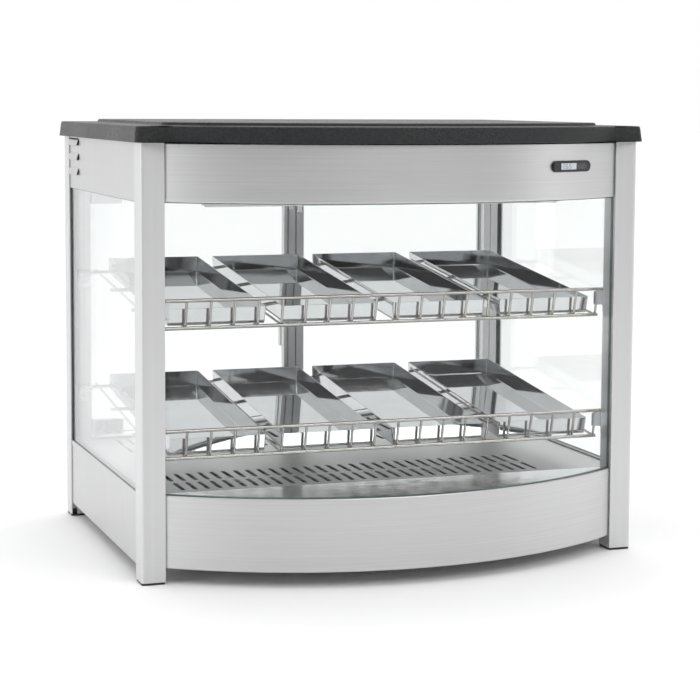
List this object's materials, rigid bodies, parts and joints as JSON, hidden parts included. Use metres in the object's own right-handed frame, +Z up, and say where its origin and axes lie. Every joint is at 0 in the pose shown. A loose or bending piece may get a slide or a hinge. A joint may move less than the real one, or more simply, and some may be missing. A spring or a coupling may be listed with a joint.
{
  "type": "food holding cabinet",
  "caption": "Countertop heated display case with a curved glass front, glass rear doors and two sloping wire shelves of lift-out pans over a slotted heated floor.",
  "frame": {"origin": "centre of the bounding box at the height of the surface the feet stand on", "axes": "+Z up, +X to the right of a person facing the curved front, -Y out of the curved front, +Y out of the rear doors"},
  "size_m": [0.704, 0.594, 0.587],
  "materials": {
    "lid_plastic": "fine leather grain, satin",
    "anodised_aluminium": "satin anodised",
    "brushed_stainless": "brushed lengthwise",
    "polished_stainless": "bright polished",
    "mirror_stainless": "mirror polished",
    "bright_wire": "bright electropolished",
    "black_plastic": "moulded, satin",
    "display_window": "clear display window",
    "element_sheath": "heat darkened sheath",
    "lamp_diffuser": "opal diffuser",
    "clear_glass": "clear tempered"
  },
  "bodies": {
    "cabinet": {"lid": "lid_plastic", "post_front_left": "anodised_aluminium", "post_front_right": "anodised_aluminium", "post_rear_left": "anodised_aluminium", "post_rear_right": "anodised_aluminium", "foot_front_left": "black_plastic", "foot_front_right": "black_plastic", "foot_rear_left": "black_plastic", "foot_rear_right": "black_plastic", "rear_mullion": "anodised_aluminium", "fascia_front": "brushed_stainless", "fascia_left": "brushed_stainless", "fascia_right": "brushed_stainless", "fascia_rear": "brushed_stainless", "ceiling_panel": "brushed_stainless", "light_bar": "lamp_diffuser", "thermometer_housing": "black_plastic", "thermometer_window": "display_window", "base_front": "brushed_stainless", "base_left": "brushed_stainless", "base_right": "brushed_stainless", "base_rear": "brushed_stainless", "base_bottom": "brushed_stainless", "floor_plate": "brushed_stainless", "front_apron": "polished_stainless", "front_glass": "clear_glass", "side_glass_left": "clear_glass", "side_glass_right": "clear_glass", "heating_element": "element_sheath", "switch_housing": "black_plastic", "cable_gland": "black_plastic", "bracket_rear_upper_left": "polished_stainless", "bracket_front_upper_left": "polished_stainless", "bracket_rear_upper_right": "polished_stainless", "bracket_front_upper_right": "polished_stainless", "bracket_rear_lower_left": "polished_stainless", "bracket_front_lower_left": "polished_stainless", "bracket_rear_lower_right": "polished_stainless", "bracket_front_lower_right": "polished_stainless"},
    "door_left": {"door_glass_left": "clear_glass", "door_clamp_lower_left": "polished_stainless", "door_clamp_upper_left": "polished_stainless", "door_pull_left": "anodised_aluminium"},
    "door_right": {"door_glass_right": "clear_glass", "door_clamp_lower_right": "polished_stainless", "door_clamp_upper_right": "polished_stainless", "door_pull_right": "anodised_aluminium"},
    "shelf_upper": {"shelf_upper": "bright_wire"},
    "pan_upper_1": {"pan_upper_1": "mirror_stainless"},
    "pan_upper_2": {"pan_upper_2": "mirror_stainless"},
    "pan_upper_3": {"pan_upper_3": "mirror_stainless"},
    "pan_upper_4": {"pan_upper_4": "mirror_stainless"},
    "shelf_lower": {"shelf_lower": "bright_wire"},
    "pan_lower_1": {"pan_lower_1": "mirror_stainless"},
    "pan_lower_2": {"pan_lower_2": "mirror_stainless"},
    "pan_lower_3": {"pan_lower_3": "mirror_stainless"},
    "pan_lower_4": {"pan_lower_4": "mirror_stainless"},
    "thermostat_knob": {"thermostat_knob": "black_plastic"},
    "power_switch": {"power_switch": "black_plastic"},
    "light_switch": {"light_switch": "black_plastic"}
  },
  "joints": [
    {"name": "door_left_swing", "type": "hinge", "parent": "cabinet", "child": "door_left", "pos_m": [-0.301, 0.2765, 0.3], "axis": [0, 0, 1], "range_deg": [0, 100]},
    {"name": "door_right_swing", "type": "hinge", "parent": "cabinet", "child": "door_right", "pos_m": [0.301, 0.2765, 0.3], "axis": [0, 0, -1], "range_deg": [0, 100]},
    {"name": "shelf_upper_lift", "type": "slide", "parent": "cabinet", "child": "shelf_upper", "axis": [0, 0, 1], "range_m": [0, 0.014]},
    {"name": "pan_upper_1_lift", "type": "slide", "parent": "shelf_upper", "child": "pan_upper_1", "axis": [0, 0, 1], "range_m": [0, 0.04]},
    {"name": "pan_upper_2_lift", "type": "slide", "parent": "shelf_upper", "child": "pan_upper_2", "axis": [0, 0, 1], "range_m": [0, 0.04]},
    {"name": "pan_upper_3_lift", "type": "slide", "parent": "shelf_upper", "child": "pan_upper_3", "axis": [0, 0, 1], "range_m": [0, 0.04]},
    {"name": "pan_upper_4_lift", "type": "slide", "parent": "shelf_upper", "child": "pan_upper_4", "axis": [0, 0, 1], "range_m": [0, 0.04]},
    {"name": "shelf_lower_lift", "type": "slide", "parent": "cabinet", "child": "shelf_lower", "axis": [0, 0, 1], "range_m": [0, 0.014]},
    {"name": "pan_lower_1_lift", "type": "slide", "parent": "shelf_lower", "child": "pan_lower_1", "axis": [0, 0, 1], "range_m": [0, 0.04]},
    {"name": "pan_lower_2_lift", "type": "slide", "parent": "shelf_lower", "child": "pan_lower_2", "axis": [0, 0, 1], "range_m": [0, 0.04]},
    {"name": "pan_lower_3_lift", "type": "slide", "parent": "shelf_lower", "child": "pan_lower_3", "axis": [0, 0, 1], "range_m": [0, 0.04]},
    {"name": "pan_lower_4_lift", "type": "slide", "parent": "shelf_lower", "child": "pan_lower_4", "axis": [0, 0, 1], "range_m": [0, 0.04]},
    {"name": "thermostat_turn", "type": "hinge", "parent": "cabinet", "child": "thermostat_knob", "pos_m": [0.205, 0.2662, 0.066], "axis": [0, -1, 0], "range_deg": [0, 270]},
    {"name": "power_switch_rock", "type": "hinge", "parent": "cabinet", "child": "power_switch", "pos_m": [0.126, 0.267, 0.066], "axis": [-1, 0, 0], "range_deg": [0, 16]},
    {"name": "light_switch_rock", "type": "hinge", "parent": "cabinet", "child": "light_switch", "pos_m": [0.144, 0.267, 0.066], "axis": [-1, 0, 0], "range_deg": [0, 16]}
  ]
}
